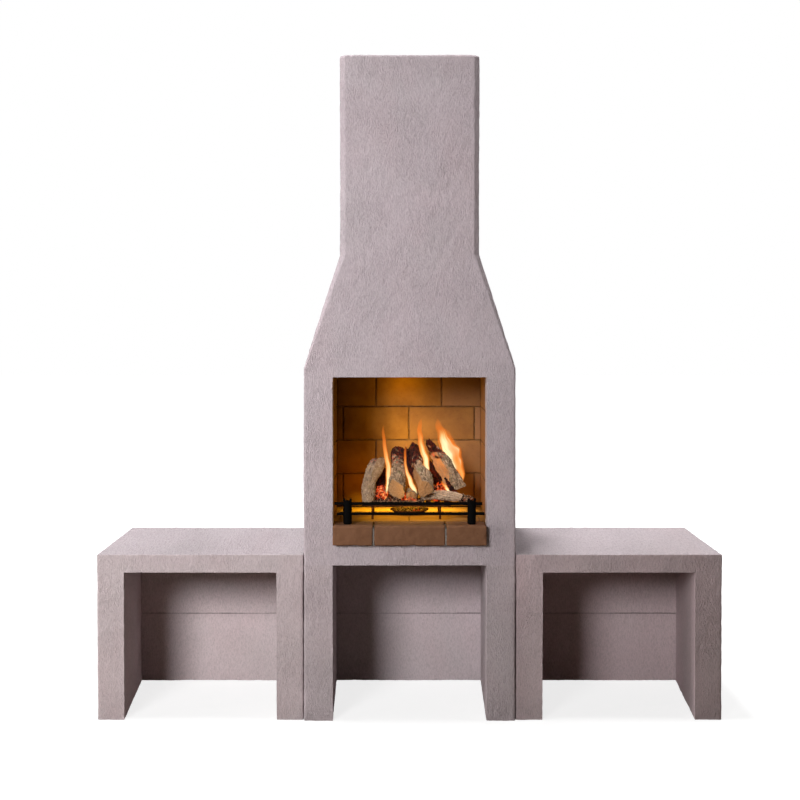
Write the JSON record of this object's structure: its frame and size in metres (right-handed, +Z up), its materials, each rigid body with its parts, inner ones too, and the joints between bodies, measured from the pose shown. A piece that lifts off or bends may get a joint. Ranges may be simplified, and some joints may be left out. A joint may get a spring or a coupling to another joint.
{
  "type": "outdoor fireplace",
  "caption": "Plastered modular outdoor fireplace: wood box, brick-lined firebox with log guard and fire, tapered hood and chimney, with a bench that is also a wood store on each side.",
  "frame": {"origin": "middle of the whole row's bounding box, at the ground it stands on", "axes": "+Z up, -Y the front with the fire opening, +X to the right seen from the front"},
  "size_m": [2.04, 0.639, 2.163],
  "materials": {
    "plaster": "stippled cement plaster, mauve grey, matt",
    "firebrick": "tan firebrick with soot, matt",
    "mortar": "raked refractory mortar, dark",
    "black_iron": "matt black stove paint",
    "grate_iron": "burnt cast iron",
    "firewood": "grey bark with pale cut ends, charred at the top",
    "embers": "charcoal with red glow",
    "flame": "flame, glowing"
  },
  "bodies": {
    "fireplace": {"base_left_wall": "plaster", "base_right_wall": "plaster", "base_back_lower": "plaster", "base_back_upper": "plaster", "hearth_slab": "plaster", "firebox_left_wall": "plaster", "firebox_right_wall": "plaster", "firebox_back_wall": "plaster", "hood_lower": "plaster", "hood_upper": "plaster", "chimney_block_lower": "plaster", "chimney_block_upper": "plaster", "left_bench_left_leg": "plaster", "left_bench_right_leg": "plaster", "left_bench_top": "plaster", "left_bench_back_lower": "plaster", "left_bench_back_upper": "plaster", "right_bench_left_leg": "plaster", "right_bench_right_leg": "plaster", "right_bench_top": "plaster", "right_bench_back_lower": "plaster", "right_bench_back_upper": "plaster", "hearth_brick_1": "firebrick", "hearth_brick_2": "firebrick", "hearth_brick_3": "firebrick", "floor_course_2": "firebrick", "floor_course_3": "firebrick", "floor_course_4": "firebrick", "back_brick_1_1": "firebrick", "back_brick_1_2": "firebrick", "back_brick_1_3": "firebrick", "back_brick_1_4": "firebrick", "back_brick_2_1": "firebrick", "back_brick_2_2": "firebrick", "back_brick_2_3": "firebrick", "back_brick_3_1": "firebrick", "back_brick_3_2": "firebrick", "back_brick_3_3": "firebrick", "back_brick_3_4": "firebrick", "back_brick_4_1": "firebrick", "back_brick_4_2": "firebrick", "back_brick_4_3": "firebrick", "back_mortar": "mortar", "left_lining": "firebrick", "right_lining": "firebrick", "log_grate": "grate_iron", "ash_dish": "grate_iron", "ember_bed": "embers", "base_log_left": "firewood", "base_log_middle": "firewood", "base_log_right": "firewood", "left_bent_log": "firewood", "leaning_log_left": "firewood", "leaning_log_right": "firewood", "split_log": "firewood"},
    "log_guard": {"guard_post_left": "black_iron", "guard_post_right": "black_iron"},
    "upper_rail": {"upper_rail": "black_iron"},
    "lower_rail": {"lower_rail": "black_iron"}
  },
  "joints": [
    {"name": "log_guard_out", "type": "slide", "parent": "fireplace", "child": "log_guard", "axis": [0, -1, 0], "range_m": [0, 0.2]},
    {"name": "upper_rail_slide", "type": "slide", "parent": "log_guard", "child": "upper_rail", "axis": [1, 0, 0], "range_m": [-0.004, 0.012]},
    {"name": "lower_rail_slide", "type": "slide", "parent": "log_guard", "child": "lower_rail", "axis": [1, 0, 0], "range_m": [-0.012, 0.004]}
  ]
}
